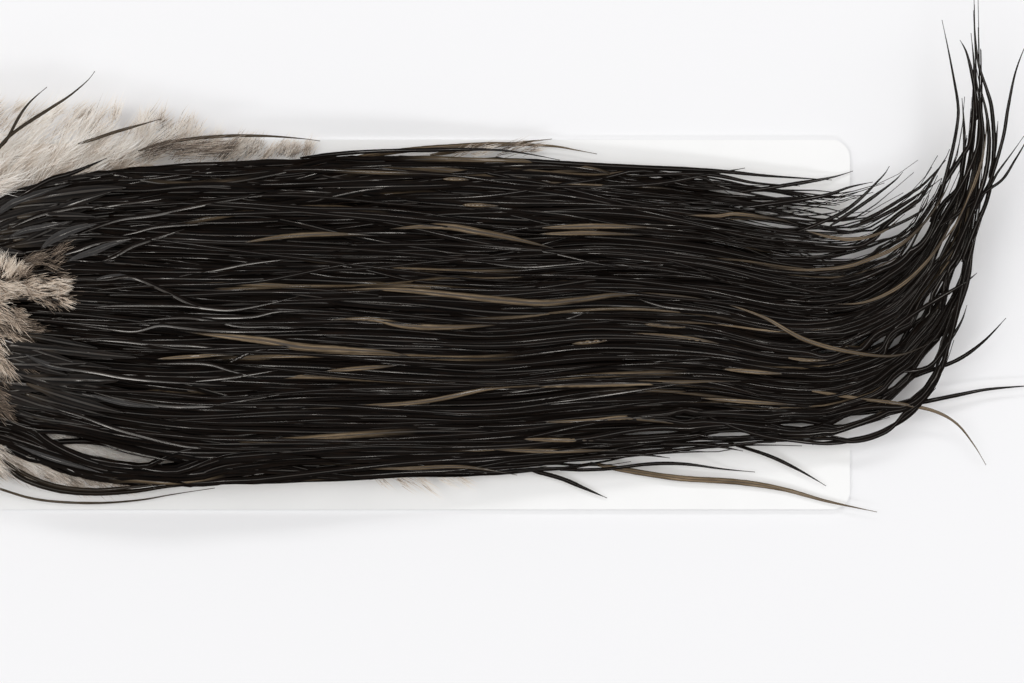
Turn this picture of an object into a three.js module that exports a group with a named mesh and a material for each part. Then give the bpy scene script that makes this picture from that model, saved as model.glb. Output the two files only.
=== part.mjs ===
// A rooster saddle hackle: a dried patch of skin that carries grey down and long slender black and tan
// feathers, lying flat on the white card that it is stored on. Millimetres, +Z up. The origin is the centre
// of the card's underside; +X runs from the head end of the patch towards the feather tips, +Y across it.
import * as THREE from "three";

// The outlines were drawn by eye on a 1024 x 683 frame seen from straight above. The card is 373 of those
// steps wide, and it is a 102 mm (4 inch) card, so that one step is about 0.27 mm.
const CARD_WIDTH = 102;
const CARD_LENGTH = 305;
const CARD_THICKNESS = 0.8;
const CARD_CORNER_RADIUS = 5;
const CARD_TOP_IN_FRAME = 138;
const CARD_BOTTOM_IN_FRAME = 511;
const CARD_TIP_EDGE_IN_FRAME = 853;
const STEP = CARD_WIDTH / (CARD_BOTTOM_IN_FRAME - CARD_TOP_IN_FRAME);
const CENTRE_IN_FRAME = [
  CARD_TIP_EDGE_IN_FRAME - CARD_LENGTH / STEP / 2,
  (CARD_TOP_IN_FRAME + CARD_BOTTOM_IN_FRAME) / 2,
];

const GAP = 0.3; // left between pieces that lie on each other
const SKIN_THICKNESS = 1.2;
const SKIN_FLOOR = CARD_THICKNESS + GAP;
const DOWN_FLOOR = SKIN_FLOOR + SKIN_THICKNESS + GAP;

const colours = {
  card: 0xf4f4f2,
  skin: 0xc9b48e,
  down: 0xb9aa99,
  black: 0x17120f,
  tan: 0x8a755a,
};

const finish = (colour, roughness) =>
  new THREE.MeshStandardMaterial({ color: colour, roughness, metalness: 0 });
const cardStock = finish(colours.card, 0.6);
const driedHide = finish(colours.skin, 0.7);
const greyDown = finish(colours.down, 0.95);
const glossyBlackVane = finish(colours.black, 0.35);
const dullTanVane = finish(colours.tan, 0.55);

const saddle = new THREE.Group();

function add(name, geometry, material) {
  const mesh = new THREE.Mesh(geometry, material);
  mesh.name = name;
  saddle.add(mesh);
}

// A point of the drawn frame, at height z above the table.
function place(frameX, frameY, z = 0) {
  return new THREE.Vector3((frameX - CENTRE_IN_FRAME[0]) * STEP, (CENTRE_IN_FRAME[1] - frameY) * STEP, z);
}

// A closed solid through rings of points. Every ring has as many points as the others and runs
// anticlockwise, seen from its far end; the first and last rings are closed by flat fans.
function loft(rings) {
  const count = rings[0].length;
  const points = rings.flat();
  const faces = [];
  for (let r = 0; r + 1 < rings.length; r++)
    for (let i = 0; i < count; i++) {
      const a = r * count + i;
      const b = r * count + ((i + 1) % count);
      faces.push(a, b, a + count, b, b + count, a + count);
    }
  const last = (rings.length - 1) * count;
  for (let i = 1; i + 1 < count; i++) {
    faces.push(0, i + 1, i);
    faces.push(last, last + i, last + i + 1);
  }
  const geometry = new THREE.BufferGeometry().setFromPoints(points);
  geometry.setIndex(faces);
  geometry.computeVertexNormals();
  return geometry;
}

// The flow of the long feathers. At each station down the saddle: the first, middle and last lane's place
// in the drawn frame, the height of the mass's underside and its thickness at the crown, in mm.
const FLOW = [
  { first: [-120, 262], middle: [-120, 306], last: [-120, 350], base: 5.6, crown: 6 },
  { first: [-50, 222], middle: [-50, 310], last: [-50, 402], base: 5.6, crown: 11 },
  { first: [10, 193], middle: [10, 316], last: [10, 434], base: 5.6, crown: 14 },
  { first: [60, 177], middle: [60, 321], last: [60, 460], base: 5.6, crown: 15 },
  { first: [120, 165], middle: [120, 326], last: [120, 476], base: 5.4, crown: 15 },
  { first: [200, 158], middle: [200, 330], last: [200, 484], base: 5, crown: 14.5 },
  { first: [300, 155], middle: [300, 331], last: [300, 481], base: 4.2, crown: 13.5 },
  { first: [400, 154], middle: [400, 335], last: [400, 477], base: 3.2, crown: 12.5 },
  { first: [500, 158], middle: [500, 337], last: [500, 473], base: 1.8, crown: 12 },
  { first: [600, 167], middle: [600, 329], last: [600, 466], base: 1.5, crown: 10.5 },
  { first: [700, 177], middle: [700, 334], last: [700, 454], base: 1.5, crown: 9.5 },
  { first: [780, 185], middle: [775, 348], last: [770, 447], base: 1.5, crown: 8.5 },
  { first: [840, 190], middle: [835, 349], last: [830, 445], base: 1.6, crown: 7.5 },
  { first: [880, 182], middle: [878, 334], last: [885, 432], base: 2, crown: 7 },
  { first: [912, 160], middle: [912, 308], last: [922, 405], base: 2.8, crown: 6.5 },
  { first: [934, 130], middle: [937, 272], last: [944, 368], base: 4, crown: 6 },
  { first: [946, 100], middle: [957, 232], last: [960, 312], base: 6, crown: 5.5 },
  { first: [952, 72], middle: [969, 188], last: [977, 240], base: 8, crown: 5 },
  { first: [953, 46], middle: [976, 140], last: [990, 170], base: 10, crown: 4.6 },
  { first: [950, 24], middle: [977, 88], last: [993, 112], base: 12, crown: 4.2 },
  { first: [942, 0], middle: [976, 38], last: [990, 60], base: 14, crown: 3.8 },
  { first: [936, -22], middle: [975, -12], last: [988, 10], base: 16, crown: 3.4 },
];
const EDGE_THICKNESS = 0.3; // of the crown's, along the first and last lanes
const LAYERS = 3;
const LANES = 12;

// A point of the flow: station along it, lane from 0 to 1 across it, level from 0, underneath, to 1, on top.
function flow(station, lane, level) {
  const k = Math.min(Math.floor(station), FLOW.length - 2);
  const [near, far] = [k, k + 1].map((i) => {
    const { first, middle, last, base, crown } = FLOW[i];
    const across = [0, 1].map(
      (axis) =>
        first[axis] * (1 - lane) * (1 - 2 * lane) +
        middle[axis] * 4 * lane * (1 - lane) +
        last[axis] * lane * (2 * lane - 1),
    );
    const round = Math.sqrt(Math.max(0, 1 - (2 * lane - 1) ** 2));
    const thickness = crown * (EDGE_THICKNESS + (1 - EDGE_THICKNESS) * round);
    return place(...across, base + thickness * level);
  });
  return near.lerp(far, station - k);
}

// One lock of feathers: a flattened spindle that fills its lane and layer and tapers to both ends.
const ROOT_TAPER = 0.12;
const TIP_TAPER = 0.38;
const ROOT_WIDTH = 0.35;
const TIP_WIDTH = 0.08;
const THINNEST = 0.22; // half of the thinnest lock or feather
const SHOULDER = 0.55; // half-width of a lock's flat top, of its half-width
const SIDE_CLEARANCE = 0.2; // that a lock leaves on each side, and below and above it
const LAYER_CLEARANCE = 0.4;
const NEAR = 0.02; // the step over which a direction of flow is taken, in stations

function spindle(share) {
  const root = Math.min(1, ROOT_WIDTH + ((1 - ROOT_WIDTH) * share) / ROOT_TAPER);
  const tip = Math.min(1, TIP_WIDTH + ((1 - TIP_WIDTH) * (1 - share)) / TIP_TAPER);
  return Math.min(root, Math.sqrt(tip));
}

function flatHexagon(centre, across, halfWidth, halfHeight) {
  const corners = [
    [-1, 0],
    [-SHOULDER, -1],
    [SHOULDER, -1],
    [1, 0],
    [SHOULDER, 1],
    [-SHOULDER, 1],
  ];
  return corners.map(([u, v]) =>
    centre
      .clone()
      .addScaledVector(across, u * halfWidth)
      .add(new THREE.Vector3(0, 0, v * halfHeight)),
  );
}

function stationsBetween(start, end) {
  const whole = [];
  for (let k = Math.floor(start) + 1; k < end - NEAR; k++) whole.push(k);
  return [start, ...whole, end];
}

function lock(laneIndex, layer, start, end) {
  const low = laneIndex / LANES;
  const high = (laneIndex + 1) / LANES;
  const lane = (low + high) / 2;
  const level = (layer + 0.5) / LAYERS;
  const rings = stationsBetween(start, end).map((station) => {
    const centre = flow(station, lane, level);
    const onward = flow(Math.min(station + NEAR, FLOW.length - 1), lane, level);
    const backward = flow(Math.max(station - NEAR, 0), lane, level);
    const along = onward.sub(backward).setZ(0).normalize();
    const across = new THREE.Vector3(-along.y, along.x, 0);
    const laneWidth = Math.abs(flow(station, high, level).sub(flow(station, low, level)).dot(across));
    const layerHeight = (flow(station, lane, 1).z - flow(station, lane, 0).z) / LAYERS;
    const taper = spindle((station - start) / (end - start));
    return flatHexagon(
      centre,
      across,
      Math.max(THINNEST, (laneWidth / 2 - SIDE_CLEARANCE) * taper),
      Math.max(THINNEST, (layerHeight / 2 - LAYER_CLEARANCE) * taper),
    );
  });
  return loft(rings);
}

// Where each lane's lock starts and ends, in stations, for the lowest, middle and top layers. The top
// locks leave room in the middle of the head end for the down that stands up there.
const LOCK_STARTS = [
  [1.6, 1.2, 1, 0.9, 0.8, 0.8, 0.8, 0.8, 0.9, 1, 1.2, 1.6],
  [1.3, 0.9, 0.6, 0.4, 0.3, 0.2, 0.2, 0.3, 0.4, 0.6, 0.9, 1.3],
  [1, 0.6, 1.2, 2.7, 3.2, 3.3, 3.1, 2.8, 2.6, 1.1, 0.5, 1],
];
const LOCK_ENDS = [
  [11.8, 12.8, 15, 13.5, 18.4, 15.5, 19.2, 14.5, 16.6, 15.2, 17.4, 9.6],
  [12.9, 19.4, 14.5, 17.2, 20, 18.2, 16.2, 19.5, 17.8, 16.4, 14, 10.5],
  [12.5, 13.2, 16, 19.4, 17.5, 21, 18.5, 20.4, 17, 18.6, 15.5, 9],
];
const TAN_LOCKS = ["1-10", "2-4", "3-6", "3-9"];

for (let layer = 0; layer < LAYERS; layer++)
  for (let laneIndex = 0; laneIndex < LANES; laneIndex++) {
    const label = `${layer + 1}-${laneIndex + 1}`;
    const [start, end] = [LOCK_STARTS, LOCK_ENDS].map((table) => table[layer][laneIndex]);
    const vane = TAN_LOCKS.includes(label) ? dullTanVane : glossyBlackVane;
    add(`hackle_lock_${label}`, lock(laneIndex, layer, start, end), vane);
  }

// A single feather that lies outside the mass or on top of it, as a thin blade along a smooth route.
const BLADE_STEPS = 9;
const BLADE_ROOT = 0.12; // a blade's half sine starts and ends past zero, so that its ends have a width
const BLADE_TIP = 0.98;
function blade(route, width, thickness) {
  const points = route.map((point) => place(...point));
  const curve = new THREE.CatmullRomCurve3(points, false, "centripetal");
  const rings = [];
  for (let i = 0; i <= BLADE_STEPS; i++) {
    const share = i / BLADE_STEPS;
    const along = curve.getTangentAt(share).setZ(0).normalize();
    const across = new THREE.Vector3(-along.y, along.x, 0);
    const taper = Math.sqrt(Math.sin(Math.PI * THREE.MathUtils.lerp(BLADE_ROOT, BLADE_TIP, share)));
    rings.push(
      flatHexagon(
        curve.getPointAt(share),
        across,
        Math.max(THINNEST, (width / 2) * taper),
        Math.max(THINNEST, (thickness / 2) * taper),
      ),
    );
  }
  return loft(rings);
}

const STRAY_THICKNESS = 0.8;
const STRAYS = {
  tip_right_high: { width: 1.4, route: [[992, 200, 9], [1000, 150, 12], [1012, 95, 15], [1034, 40, 18]] },
  tip_right_low: {
    width: 1.3,
    route: [[986, 222, 6.5], [1002, 178, 8.5], [1022, 145, 10.5], [1040, 118, 12]],
  },
  right_rising: { width: 1.5, route: [[952, 366, 3.5], [972, 350, 4], [1000, 322, 5]] },
  right_long: { width: 1.6, route: [[930, 409, 3.2], [960, 394, 2.6], [1000, 387, 2], [1040, 384, 1.5]] },
  right_falling: { width: 1.3, route: [[915, 422, 2.2], [945, 421, 1.8], [968, 438, 1.4], [985, 465, 1]] },
  lower_tan: { width: 2.6, route: [[606, 476, 2], [700, 476, 1.8], [780, 487, 1.5], [875, 512, 1.2]] },
  lower_thin: { width: 1.3, route: [[738, 455, 2], [770, 455, 1.8], [800, 467, 1.6], [828, 485, 1.4]] },
  lower_short: { width: 2, route: [[530, 476, 2], [560, 480, 1.8], [606, 497, 1.5]] },
  lower_loop: {
    width: 1.6,
    route: [[-50, 494, 3.4], [0, 497, 3], [60, 502, 2.4], [120, 501, 2], [215, 492, 1.8]],
  },
  upper_tan: {
    width: 2.2,
    route: [[348, 149, 2.6], [400, 148, 2.4], [470, 143, 2.2], [530, 145, 2], [592, 153, 1.8]],
  },
  upper_dark: { width: 2.2, route: [[200, 131, 6.6], [260, 133, 6], [313, 139, 4.6]] },
};
const TAN_STRAYS = ["lower_tan", "upper_tan", "right_falling"];
for (const [name, { route, width }] of Object.entries(STRAYS)) {
  const vane = TAN_STRAYS.includes(name) ? dullTanVane : glossyBlackVane;
  add(`stray_${name}`, blade(route, width, STRAY_THICKNESS), vane);
}

// A bank of down: a rounded ridge that follows a route, with its outer edge drawn out into tufts. Each
// stop gives the inner edge and outer edge in the drawn frame and the crest's height above the bank's floor.
const TUFT_LEAN = 9; // how far a tuft's tip leans towards the feather tips, in frame steps
const TUFT_REACH = 1.05; // of the way from the inner edge to the outer one
const NOTCH_REACH = 0.8;
const LIP_HEIGHT = 0.18; // of the crest's, over the tip of a tuft
const SLOPE = { share: 0.6, height: 0.75 };
const CREST = { share: 0.28, height: 1 };
const INNER_WALL = 0.85;
function downBank(stops, floor) {
  const rings = stops.map(({ inner, outer, height }, index) => {
    const isTuft = index % 2 === 1;
    const reach = isTuft ? TUFT_REACH : NOTCH_REACH;
    const lean = isTuft ? TUFT_LEAN : 0;
    const at = (share, rise) =>
      place(
        inner[0] + (outer[0] - inner[0]) * share + lean * share,
        inner[1] + (outer[1] - inner[1]) * share,
        floor + height * rise,
      );
    return [
      at(0, INNER_WALL),
      at(CREST.share, CREST.height),
      at(SLOPE.share, SLOPE.height),
      at(reach, LIP_HEIGHT),
      at(reach, 0),
      at(0, 0),
    ];
  });
  return loft(rings);
}

const stop = (inner, outer, height) => ({ inner, outer, height });
const UPPER_SIDE_DOWN = [
  stop([306, 148], [316, 142], 1.8),
  stop([285, 149], [298, 130], 2.6),
  stop([262, 150], [270, 128], 3.2),
  stop([236, 151], [242, 121], 3.8),
  stop([210, 152], [216, 126], 4.3),
  stop([184, 154], [188, 119], 4.9),
  stop([158, 155], [158, 122], 5.5),
  stop([132, 158], [130, 112], 6.5),
  stop([108, 162], [104, 116], 8),
  stop([86, 166], [78, 98], 9.5),
  stop([62, 171], [54, 104], 11),
  stop([38, 177], [26, 88], 12.5),
  stop([14, 185], [0, 98], 13.5),
  stop([-8, 193], [-28, 84], 14.5),
  stop([-30, 203], [-52, 96], 15),
];
const NECK_DOWN = [
  stop([-34, 205], [-62, 98], 13.5),
  stop([-56, 217], [-96, 98], 14),
  stop([-80, 230], [-126, 124], 14.5),
  stop([-102, 244], [-158, 138], 15),
  stop([-126, 256], [-182, 176], 15.5),
  stop([-130, 274], [-204, 212], 16),
  stop([-131, 292], [-214, 256], 16),
  stop([-131, 310], [-220, 300], 16),
  stop([-131, 326], [-214, 346], 16),
  stop([-130, 342], [-204, 388], 15.5),
  stop([-126, 358], [-182, 420], 15),
  stop([-100, 374], [-156, 458], 14),
  stop([-76, 390], [-120, 470], 13),
  stop([-56, 404], [-84, 492], 12),
  stop([-34, 418], [-48, 478], 11),
];
const LOWER_SIDE_DOWN = [
  stop([-30, 421], [-42, 468], 12),
  stop([-12, 430], [-20, 480], 11),
  stop([8, 440], [6, 474], 9.5),
  stop([28, 449], [28, 488], 8.5),
  stop([50, 460], [52, 484], 7),
  stop([76, 468], [80, 491], 6),
  stop([104, 476], [108, 487], 5),
  stop([136, 482], [140, 492], 4),
  stop([168, 486], [172, 490], 3),
];
add("upper_side_down", downBank(UPPER_SIDE_DOWN, SKIN_FLOOR), greyDown);
add("neck_down", downBank(NECK_DOWN, DOWN_FLOOR), greyDown);
add("lower_side_down", downBank(LOWER_SIDE_DOWN, SKIN_FLOOR), greyDown);

// The layer of down between the skin and the long feathers, flat on top where the locks lie on it.
const UNDER_DOWN_START = 0.1;
const UNDER_DOWN_END = 6.8;
const UNDER_DOWN_LANES = [0.03, 0.25, 0.5, 0.75, 0.97];
function underDown() {
  const rings = stationsBetween(UNDER_DOWN_START, UNDER_DOWN_END).map((station) => {
    const points = UNDER_DOWN_LANES.map((lane) => flow(station, lane, 0));
    const top = points.map((point) => point.clone().setZ(point.z - GAP));
    const under = [points.at(-1), points[0]].map((point) => point.clone().setZ(DOWN_FLOOR));
    return [...under, ...top];
  });
  return loft(rings);
}
add("under_down", underDown(), greyDown);

// Tufts of pale down that stand up between the roots of the top feathers.
const TUFT_SIDES = 10;
const TUFT_NOTCH = 0.82; // of the tuft's outline, between its points
const TUFT_LEVELS = [
  { share: 0.86, rise: 0 },
  { share: 1, rise: 0.3 },
  { share: 0.72, rise: 0.8 },
  { share: 0.3, rise: 1 },
];
function tuft({ centre, length, width, floor, height }) {
  const rings = TUFT_LEVELS.map(({ share, rise }) => {
    const ring = [];
    for (let i = 0; i < TUFT_SIDES; i++) {
      const turn = (-2 * Math.PI * i) / TUFT_SIDES;
      const size = i % 2 ? share : share * TUFT_NOTCH;
      const frameX = centre[0] + (Math.cos(turn) * length * size) / 2;
      const frameY = centre[1] + (Math.sin(turn) * width * size) / 2;
      ring.push(place(frameX, frameY, floor + height * rise));
    }
    return ring;
  });
  return loft(rings);
}
const CROWN_TUFTS = {
  upper: { centre: [-24, 283], length: 110, width: 50, floor: 15.3, height: 5.2 },
  lower: { centre: [-40, 348], length: 110, width: 48, floor: 15.1, height: 4.8 },
};
for (const [name, shape] of Object.entries(CROWN_TUFTS)) add(`crown_tuft_${name}`, tuft(shape), greyDown);

// Short glossy feathers of the back that lie over the roots of the long ones.
const BACK_FEATHER_THICKNESS = 1.2;
const BACK_FEATHERS = {
  upper: { width: 5, route: [[-60, 236, 17.6], [-10, 214, 18.2], [50, 196, 18.8], [106, 186, 18.4]] },
  lower: { width: 4.6, route: [[-50, 400, 17.2], [0, 414, 17.6], [60, 436, 17.8], [130, 452, 17.2]] },
};
for (const [name, { route, width }] of Object.entries(BACK_FEATHERS))
  add(`back_feather_${name}`, blade(route, width, BACK_FEATHER_THICKNESS), glossyBlackVane);

// The dried skin: a shield-shaped patch, widest over the back, trimmed at the head end.
const SKIN_OUTLINE = [
  [-228, 262], [-206, 228], [-150, 214], [-60, 222], [20, 232], [90, 262], [136, 312],
  [96, 362], [24, 396], [-56, 408], [-146, 400], [-204, 380], [-228, 344],
];
const STEPS_PER_CORNER = 3;
function skinPatch() {
  const corners = SKIN_OUTLINE.map(([x, y]) => place(x, y));
  const curve = new THREE.CatmullRomCurve3(corners, true);
  const edge = curve.getPoints(SKIN_OUTLINE.length * STEPS_PER_CORNER).slice(0, -1);
  const shape = new THREE.Shape(edge.map((point) => new THREE.Vector2(point.x, point.y)));
  const geometry = new THREE.ExtrudeGeometry(shape, { depth: SKIN_THICKNESS, bevelEnabled: false });
  return geometry.translate(0, 0, SKIN_FLOOR);
}
add("skin_patch", skinPatch(), driedHide);

function backingCard() {
  const [halfLength, halfWidth, radius] = [CARD_LENGTH / 2, CARD_WIDTH / 2, CARD_CORNER_RADIUS];
  const shape = new THREE.Shape();
  const quarter = Math.PI / 2;
  const corners = [[1, -1], [1, 1], [-1, 1], [-1, -1]];
  corners.forEach(([signX, signY], index) => {
    const from = quarter * (index - 1);
    const [centreX, centreY] = [signX * (halfLength - radius), signY * (halfWidth - radius)];
    shape.absarc(centreX, centreY, radius, from, from + quarter);
  });
  return new THREE.ExtrudeGeometry(shape, { depth: CARD_THICKNESS, bevelEnabled: false, curveSegments: 6 });
}
add("backing_card", backingCard(), cardStock);

export default saddle;
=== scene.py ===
import functools
import math

import bpy
import numpy as np
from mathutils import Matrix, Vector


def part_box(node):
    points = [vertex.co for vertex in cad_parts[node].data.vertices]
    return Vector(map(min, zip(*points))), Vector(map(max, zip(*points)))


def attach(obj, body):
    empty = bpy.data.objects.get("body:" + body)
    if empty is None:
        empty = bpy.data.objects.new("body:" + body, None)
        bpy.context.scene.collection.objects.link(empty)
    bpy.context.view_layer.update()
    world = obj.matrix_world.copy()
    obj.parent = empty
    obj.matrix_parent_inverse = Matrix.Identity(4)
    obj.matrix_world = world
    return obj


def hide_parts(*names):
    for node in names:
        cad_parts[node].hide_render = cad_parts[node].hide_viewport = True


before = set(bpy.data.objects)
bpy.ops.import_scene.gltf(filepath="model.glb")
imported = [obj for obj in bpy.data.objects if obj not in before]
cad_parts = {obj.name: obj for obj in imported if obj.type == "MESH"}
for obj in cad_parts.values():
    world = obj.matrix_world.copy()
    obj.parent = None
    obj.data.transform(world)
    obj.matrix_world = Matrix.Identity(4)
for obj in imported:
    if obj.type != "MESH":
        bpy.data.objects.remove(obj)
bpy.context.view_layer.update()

# The outlines and routes are drawn on a 1024 x 683 frame seen from straight above, as points across and
# down it. The card is 373 of those steps wide and 102 mm in reality. Lengths are in metres, unless a comment
# says that they are in mm.
MM = 0.001
FRAME_WIDTH = 1024
FRAME_HEIGHT = 683
CARD_WIDTH = 102 * MM
CARD_LENGTH = 305 * MM
CARD_TOP_EDGE = 138
CARD_BOTTOM_EDGE = 511
CARD_TIP_EDGE = 853
STEP = CARD_WIDTH / (CARD_BOTTOM_EDGE - CARD_TOP_EDGE)
CARD_CENTRE = (CARD_TIP_EDGE - CARD_LENGTH / STEP / 2, (CARD_TOP_EDGE + CARD_BOTTOM_EDGE) / 2)

# The camera looks straight down through a 100 mm lens. Its distance makes one step of the frame as long
# as STEP at the middle height of the feathers.
LENS = 100
SENSOR = 36
FEATHER_LEVEL = 8 * MM
CAMERA_DISTANCE = FRAME_WIDTH * STEP * LENS / SENSOR
LOOK_AT = ((FRAME_WIDTH / 2 - CARD_CENTRE[0]) * STEP, (CARD_CENTRE[1] - FRAME_HEIGHT / 2) * STEP)
camera = bpy.data.objects.new("camera", bpy.data.cameras.new("camera"))
camera.data.lens = LENS
camera.data.sensor_width = SENSOR
camera.location = (*LOOK_AT, FEATHER_LEVEL + CAMERA_DISTANCE)
bpy.context.scene.collection.objects.link(camera)
bpy.context.scene.camera = camera


def place(across, down, height):
    """Points of the drawn frame, at heights in mm above the table, drawn in by what perspective adds."""
    height = np.asarray(height, float) * MM
    shrink = 1 - (height - FEATHER_LEVEL) / CAMERA_DISTANCE
    x = LOOK_AT[0] + (np.asarray(across, float) - FRAME_WIDTH / 2) * STEP * shrink
    y = LOOK_AT[1] + (FRAME_HEIGHT / 2 - np.asarray(down, float)) * STEP * shrink
    return np.stack(np.broadcast_arrays(x, y, height), axis=-1)


rng = np.random.default_rng(7)


def smooth_noise(count, length, knots, size=1.0):
    """Rows of smooth random curves: count of them, each through so many knots, sampled length times."""
    values = rng.normal(0, size, (count, knots))
    return resample(values, np.linspace(0, knots - 1, length))


def resample(values, at):
    """Catmull-Rom interpolation of rows of values (the last axis) at fractional places."""
    last = values.shape[-1] - 1
    k = np.clip(np.floor(at).astype(int), 0, last - 1)
    t = at - k
    before = values[..., np.clip(k - 1, 0, last)]
    start = values[..., k]
    end = values[..., k + 1]
    after = values[..., np.clip(k + 2, 0, last)]
    bend = 2 * before - 5 * start + 4 * end - after
    twist = 3 * (start - end) + after - before
    return start + 0.5 * t * (end - before + t * (bend + t * twist))


# Materials


def linear(hex_colour):
    """An sRGB hex colour as linear red, green, blue and alpha."""
    parts = [int(hex_colour[i : i + 2], 16) / 255 for i in (1, 3, 5)]
    return [c / 12.92 if c <= 0.04045 else ((c + 0.055) / 1.055) ** 2.4 for c in parts] + [1.0]


def add_node(tree, kind, inputs, output=0, **settings):
    """A new shader node, or the one of its outputs that output names. Each of its inputs is a value or an
    output of another node."""
    node = tree.nodes.new("ShaderNode" + kind)
    for name, value in settings.items():
        setattr(node, name, value)
    for name, value in inputs.items():
        if isinstance(value, bpy.types.NodeSocket):
            tree.links.new(value, node.inputs[name])
        else:
            node.inputs[name].default_value = value
    return node if output is None else node.outputs[output]


def make_material(name, surface, *details):
    """A material of one shader. surface gives the shader's inputs, from the function that adds nodes."""
    material = bpy.data.materials.new(name)
    material.use_nodes = True
    material.node_tree.nodes.clear()
    add = functools.partial(add_node, material.node_tree)
    add("OutputMaterial", {"Surface": add("BsdfPrincipled", surface(add, *details))}, None)
    return material


def ramp(add, factor, stops):
    node = add("ValToRGB", {"Fac": factor}, None)
    elements = node.color_ramp.elements
    while len(elements) < len(stops):
        elements.new(0.5)
    for element, (position, colour) in zip(elements, stops):
        element.position = position
        element.color = linear(colour) if isinstance(colour, str) else (colour, colour, colour, 1)
    return node.outputs["Color"]


BARB_SPACING = 0.6  # mm. Real barbs are 0.3 mm apart, too fine to show here, so they are drawn in pairs.
BARB_SLANT = 2.6  # how much further along than across the vane a barb runs
STREAK_STRETCH = 0.06  # how far the streaks' noise goes on for each mm along the vane
WEAR_STRETCH = 0.07


def vane_coordinates(add):
    """Across the vane from -1 to 1, along it in mm, and a number of the feather's own."""
    at = add("Attribute", {}, "Vector", attribute_name="vane")
    return add("SeparateXYZ", {"Vector": at}, None).outputs


def dark_or_pale(add, pattern, dark, pale):
    """The dark colours of a pattern, or its pale ones where the feather's tint is 1."""
    tint = add("Attribute", {}, "Fac", attribute_name="tint")
    inputs = {"Factor": tint, 6: ramp(add, pattern, dark), 7: ramp(add, pattern, pale)}
    return add("Mix", inputs, 2, data_type="RGBA")


def keratin_vane(add, dark, pale, edge_colour, specular):
    """Keratin vane: barbs hooked into one thin sheet. Its pigmented side gives the near-black of the
    feathers, with soft brown streaks and thin brown edges. Its other side is a dull tan."""
    across, along, chance = vane_coordinates(add)
    off_shaft = add("Math", {0: across}, operation="ABSOLUTE")
    slant = add("Math", {0: off_shaft, 1: -BARB_SLANT, 2: along}, operation="MULTIPLY_ADD")
    turns = add("Math", {0: slant, 1: math.tau / BARB_SPACING}, operation="MULTIPLY")
    barbs = add("Math", {0: turns}, operation="SINE")
    stretched = add("Math", {0: slant, 1: STREAK_STRETCH}, operation="MULTIPLY")
    at = add("CombineXYZ", {0: stretched, 1: across, 2: chance})
    streaks = add("TexNoise", {"Vector": at, "Scale": 2.4, "Detail": 4.0, "Roughness": 0.6}, "Fac")
    edge = ramp(add, off_shaft, [(0.0, 0.0), (0.45, 0.0), (1.0, 0.8)])
    vane = dark_or_pale(add, streaks, dark, pale)
    return {
        "Base Color": add("Mix", {"Factor": edge, 6: vane, 7: linear(edge_colour)}, 2, data_type="RGBA"),
        "Roughness": add("MapRange", {"Value": streaks, "To Min": 0.38, "To Max": 0.6}),
        "Normal": add("Bump", {"Height": barbs, "Strength": 0.25, "Distance": 0.05 * MM}),
        "IOR": 1.54,
        "Specular IOR Level": specular,
    }


def keratin_shaft(add):
    """Keratin shaft: solid, round and polished like horn. It draws a thin cool glint down each feather."""
    _, along, chance = vane_coordinates(add)
    coarse = add("Math", {0: along, 1: WEAR_STRETCH}, operation="MULTIPLY")
    at = add("CombineXYZ", {0: coarse, 1: chance})
    wear = add("TexNoise", {"Vector": at, "Scale": 1.7, "Detail": 3.0}, "Fac")
    dark = [(0.35, "#0b0807"), (0.65, "#221a15")]
    pale = [(0.35, "#2b2119"), (0.65, "#483a2c")]
    worn = {"Value": wear, "From Min": 0.4, "From Max": 0.62, "To Min": 0.36, "To Max": 0.12}
    return {
        "Base Color": dark_or_pale(add, wear, dark, pale),
        "Roughness": add("MapRange", worn),
        "IOR": 1.56,
        "Specular IOR Level": 1.0,
        "Specular Tint": linear("#f7f2ea"),
    }


DOWN_STOPS = [(0.0, "#4a3f36"), (0.15, "#85776a"), (0.35, "#c9bbad"), (0.65, "#eee6dc"), (1.0, "#fefcf8")]
CLUMP_SIZE = 1.5 * MM  # a few barbs that are pressed together


def down_barbs(add, packed):
    """Down: soft barbs that never hook together. It scatters light from many sides, so it looks matt. Its
    tint is painted pale at the tips and greyer where it is deep, as painted light and painted shade. Packed
    down is mottled where its barbs are pressed together."""
    if packed:
        at = add("TexCoord", {}, "Object")
        noise = {"Vector": at, "Scale": 1 / CLUMP_SIZE, "Detail": 5.0, "Roughness": 0.7}
        tint = add("MapRange", {"Value": add("TexNoise", noise, "Fac"), "To Min": 0.3, "To Max": 1.1})
    else:
        tint = add("Attribute", {}, "Fac", attribute_name="tint")
    shade = add("Attribute", {}, "Fac", attribute_name="shade")
    shaded = {"Factor": shade, 6: ramp(add, tint, DOWN_STOPS), 7: linear("#d9c3a6")}
    return {
        "Base Color": add("Mix", shaded, 2, data_type="RGBA", blend_type="MULTIPLY"),
        "Roughness": 0.85,
        "IOR": 1.54,
        "Specular IOR Level": 0.25,
        "Sheen Weight": 1.0,
        "Sheen Roughness": 0.5,
        "Sheen Tint": linear("#efe8df"),
    }


FOLLICLE_SPACING = 2.2 * MM  # between the roots of a saddle's feathers


def dried_hide(add):
    """Dried hide: fleshed and dried with borax. Parchment yellow, blotched darker where fat was left, with
    the fine goose bumps of the feather roots."""
    at = add("TexCoord", {}, "Object")
    blotches = add("TexNoise", {"Vector": at, "Scale": 90.0, "Detail": 5.0}, "Fac")
    follicles = add("TexVoronoi", {"Vector": at, "Scale": 1 / FOLLICLE_SPACING}, "Distance")
    return {
        "Base Color": ramp(add, blotches, [(0.3, "#a98c60"), (0.5, "#c8b187"), (0.7, "#dccdab")]),
        "Normal": add("Bump", {"Height": follicles, "Strength": 0.6, "Distance": 0.4 * MM}),
        "Roughness": 0.6,
        "IOR": 1.5,
        "Specular IOR Level": 0.4,
    }


FIBRE_SIZE = 0.6 * MM  # a short fibre of pulp


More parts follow.
